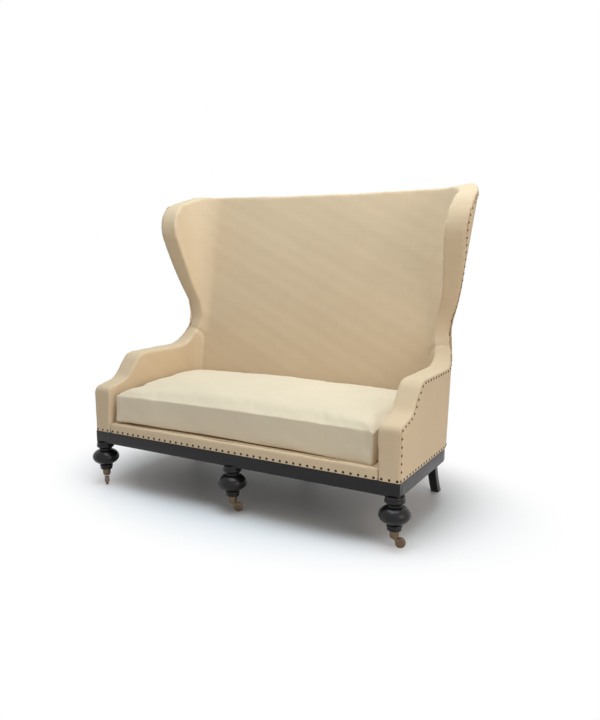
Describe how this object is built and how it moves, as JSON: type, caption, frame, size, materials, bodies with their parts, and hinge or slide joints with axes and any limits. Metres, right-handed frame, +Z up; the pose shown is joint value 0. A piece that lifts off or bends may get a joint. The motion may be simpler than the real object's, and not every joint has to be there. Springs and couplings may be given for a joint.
{
  "type": "high back settee",
  "caption": "High back settee with wings, low swept arms and one loose seat cushion, on turned front legs with castors and sabre rear legs.",
  "frame": {"origin": "on the floor, under the middle of the whole settee", "axes": "+X to the end that is on the right seen from the front, +Y to the rear, +Z up"},
  "size_m": [1.6304, 0.9168, 1.361],
  "materials": {
    "calico": "plain woven unbleached cotton",
    "ebonised_wood": "black stain under a gloss polish",
    "frame_timber": "planed hardwood",
    "jute_webbing": "coarse woven straps",
    "black_cambric": "thin dust cloth",
    "castor_brass": "aged",
    "castor_wheel": "worn",
    "nail_heads": "dark antique"
  },
  "bodies": {
    "frame": {"arm_board_left": "frame_timber", "arm_board_right": "frame_timber", "arm_pad_left": "calico", "arm_pad_right": "calico", "arm_post_left": "frame_timber", "arm_post_right": "frame_timber", "back_pad": "calico", "back_rail_middle": "frame_timber", "back_rail_top": "frame_timber", "back_stiles": "frame_timber", "castor_cup_left": "castor_brass", "castor_cup_middle": "castor_brass", "castor_cup_right": "castor_brass", "corner_blocks": "frame_timber", "deck_pad": "calico", "dust_cover": "black_cambric", "front_border": "calico", "leg_front_left": "ebonised_wood", "leg_front_middle": "ebonised_wood", "leg_front_right": "ebonised_wood", "leg_rear_left": "ebonised_wood", "leg_rear_middle": "ebonised_wood", "leg_rear_right": "ebonised_wood", "nails_back": "nail_heads", "nails_front": "nail_heads", "nails_left": "nail_heads", "nails_right": "nail_heads", "outer_back": "calico", "outer_side_left": "calico", "outer_side_right": "calico", "plinth_back": "ebonised_wood", "plinth_corner_left": "ebonised_wood", "plinth_corner_right": "ebonised_wood", "plinth_front": "ebonised_wood", "plinth_left": "ebonised_wood", "plinth_right": "ebonised_wood", "seat_rail_back": "frame_timber", "seat_rail_front": "frame_timber", "seat_rail_left": "frame_timber", "seat_rail_right": "frame_timber", "seat_stretchers": "frame_timber", "webbing_front_to_back": "jute_webbing", "webbing_side_to_side": "jute_webbing", "wing_frame_left": "frame_timber", "wing_frame_right": "frame_timber", "wing_pad_left": "calico", "wing_pad_right": "calico"},
    "cushion": {"seat_cushion": "calico"},
    "castor_left": {"castor_fork_left": "castor_brass", "castor_axle_left": "castor_brass"},
    "wheel_left": {"castor_wheel_left": "castor_wheel"},
    "castor_middle": {"castor_fork_middle": "castor_brass", "castor_axle_middle": "castor_brass"},
    "wheel_middle": {"castor_wheel_middle": "castor_wheel"},
    "castor_right": {"castor_fork_right": "castor_brass", "castor_axle_right": "castor_brass"},
    "wheel_right": {"castor_wheel_right": "castor_wheel"}
  },
  "joints": [
    {"name": "cushion_lift", "type": "slide", "parent": "frame", "child": "cushion", "axis": [0, 0, 1], "range_m": [0, 0.3]},
    {"name": "castor_swivel_left", "type": "hinge", "parent": "frame", "child": "castor_left", "pos_m": [-0.724, -0.39738, 0.045], "axis": [0, 0, 1], "continuous": true},
    {"name": "castor_swivel_middle", "type": "hinge", "parent": "frame", "child": "castor_middle", "pos_m": [0, -0.39738, 0.045], "axis": [0, 0, 1], "continuous": true},
    {"name": "castor_swivel_right", "type": "hinge", "parent": "frame", "child": "castor_right", "pos_m": [0.724, -0.39738, 0.045], "axis": [0, 0, 1], "continuous": true},
    {"name": "wheel_spin_left", "type": "hinge", "parent": "castor_left", "child": "wheel_left", "pos_m": [-0.70748, -0.41367, 0.0198], "axis": [0.7022, 0.712, 0], "continuous": true},
    {"name": "wheel_spin_middle", "type": "hinge", "parent": "castor_middle", "child": "wheel_middle", "pos_m": [0.02021, -0.38599, 0.0198], "axis": [-0.4909, 0.8712, 0], "continuous": true},
    {"name": "wheel_spin_right", "type": "hinge", "parent": "castor_right", "child": "wheel_right", "pos_m": [0.74421, -0.38599, 0.0198], "axis": [-0.4909, 0.8712, 0], "continuous": true}
  ]
}
